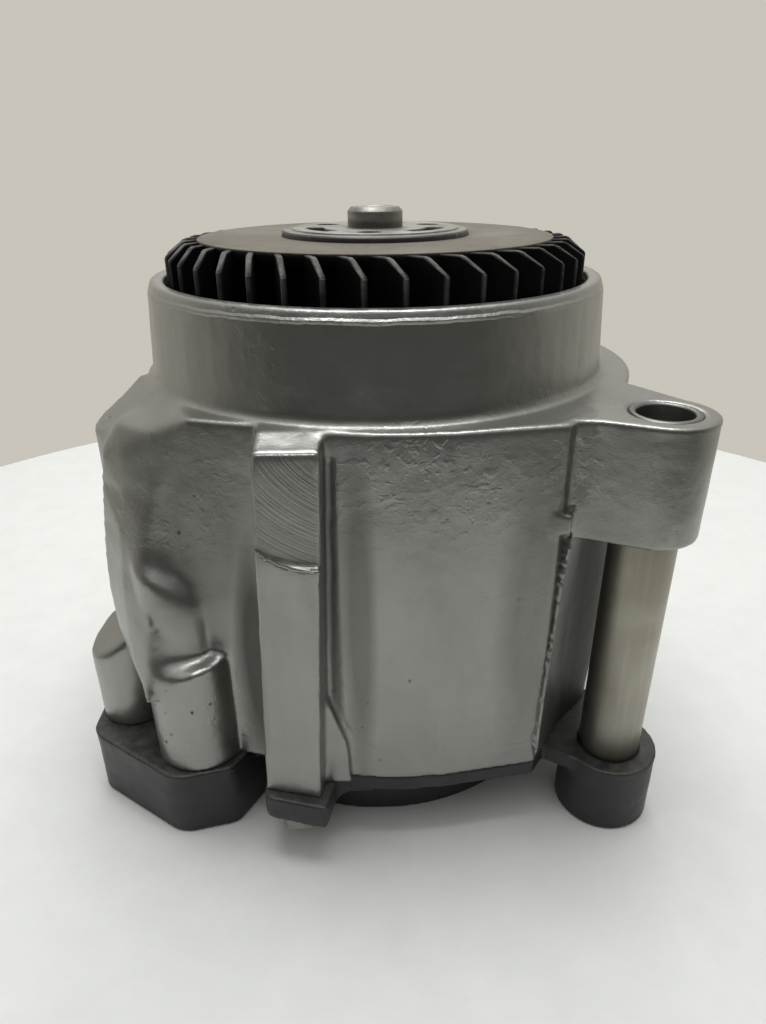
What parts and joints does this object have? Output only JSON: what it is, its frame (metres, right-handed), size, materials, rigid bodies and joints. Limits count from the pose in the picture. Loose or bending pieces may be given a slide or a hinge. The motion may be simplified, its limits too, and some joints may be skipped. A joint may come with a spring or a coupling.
{
  "type": "air injection pump",
  "caption": "Belt driven vane air pump: silver cast housing with a black filter fan and drive hub, steel mounting tube and a black cast rear cover.",
  "frame": {"origin": "on the shaft axis at the pulley seat of the drive hub", "axes": "+Z along the shaft, out of the pulley end; +X towards the mounting ear; +Y away from the side with the milled pad"},
  "size_m": [0.1759, 0.154, 0.1715],
  "materials": {
    "silver_paint": "satin silver-grey paint over a cast aluminium housing",
    "black_iron": "black painted cast iron with a worn grey edge",
    "tube_steel": "warm grey drawn steel tube",
    "zinc_steel": "zinc plated steel",
    "bare_steel": "ground steel",
    "shaft_steel": "grey machined steel",
    "hub_paint": "steel hub, black at its rim with silver overspray on its face",
    "black_plastic": "black moulded plastic, its top disc dusty taupe",
    "rotor_aluminium": "machined cast aluminium",
    "carbon": "pressed carbon",
    "brass_cage": "pressed brass cage",
    "vane_resin": "brown moulded phenolic vane"
  },
  "bodies": {
    "pump_body": {"housing": "silver_paint", "rear_cover": "black_iron", "mounting_tube": "tube_steel", "cover_bolts": "zinc_steel", "cover_dowels": "bare_steel", "vane_axle": "bare_steel", "bearing_outer_race": "bare_steel", "bearing_shield": "bare_steel", "bearing_snap_ring": "bare_steel", "rear_inner_race": "bare_steel"},
    "rotor": {"drive_shaft": "shaft_steel", "pulley_hub": "hub_paint", "filter_fan": "black_plastic", "bearing_inner_race": "bare_steel", "rotor_drum": "rotor_aluminium", "rotor_ring": "bare_steel", "rotor_ring_screws": "zinc_steel", "rear_outer_race": "bare_steel", "leading_shoes": "carbon", "trailing_shoes": "carbon", "shoe_springs": "bare_steel", "front_carbon_seal": "carbon", "rear_carbon_seal": "carbon"},
    "ball_set": {"bearing_balls": "bare_steel", "ball_cage": "brass_cage"},
    "needle_set": {"rear_needles": "bare_steel", "needle_cage": "brass_cage"},
    "vane_one": {"vane_a": "vane_resin", "vane_a_bushes": "bare_steel"},
    "vane_two": {"vane_b": "vane_resin", "vane_b_bushes": "bare_steel"}
  },
  "joints": [
    {"name": "rotor_spin", "type": "hinge", "parent": "pump_body", "child": "rotor", "pos_m": [0, 0, 0], "axis": [0, 0, 1], "continuous": true},
    {"name": "ball_set_spin", "type": "hinge", "parent": "pump_body", "child": "ball_set", "pos_m": [0, 0, -0.036], "axis": [0, 0, 1], "continuous": true},
    {"name": "needle_set_spin", "type": "hinge", "parent": "pump_body", "child": "needle_set", "pos_m": [0, 0, -0.137], "axis": [0, 0, 1], "continuous": true},
    {"name": "vane_one_spin", "type": "hinge", "parent": "pump_body", "child": "vane_one", "pos_m": [0.005, 0, -0.095], "axis": [0, 0, 1], "continuous": true},
    {"name": "vane_two_spin", "type": "hinge", "parent": "pump_body", "child": "vane_two", "pos_m": [0.005, 0, -0.095], "axis": [0, 0, 1], "continuous": true}
  ],
  "couplings": [
    {"joint": "ball_set_spin", "follows": "rotor_spin", "ratio": 0.3807},
    {"joint": "needle_set_spin", "follows": "rotor_spin", "ratio": 0.5348},
    {"joint": "vane_one_spin", "follows": "rotor_spin", "ratio": 1},
    {"joint": "vane_two_spin", "follows": "rotor_spin", "ratio": 1}
  ]
}
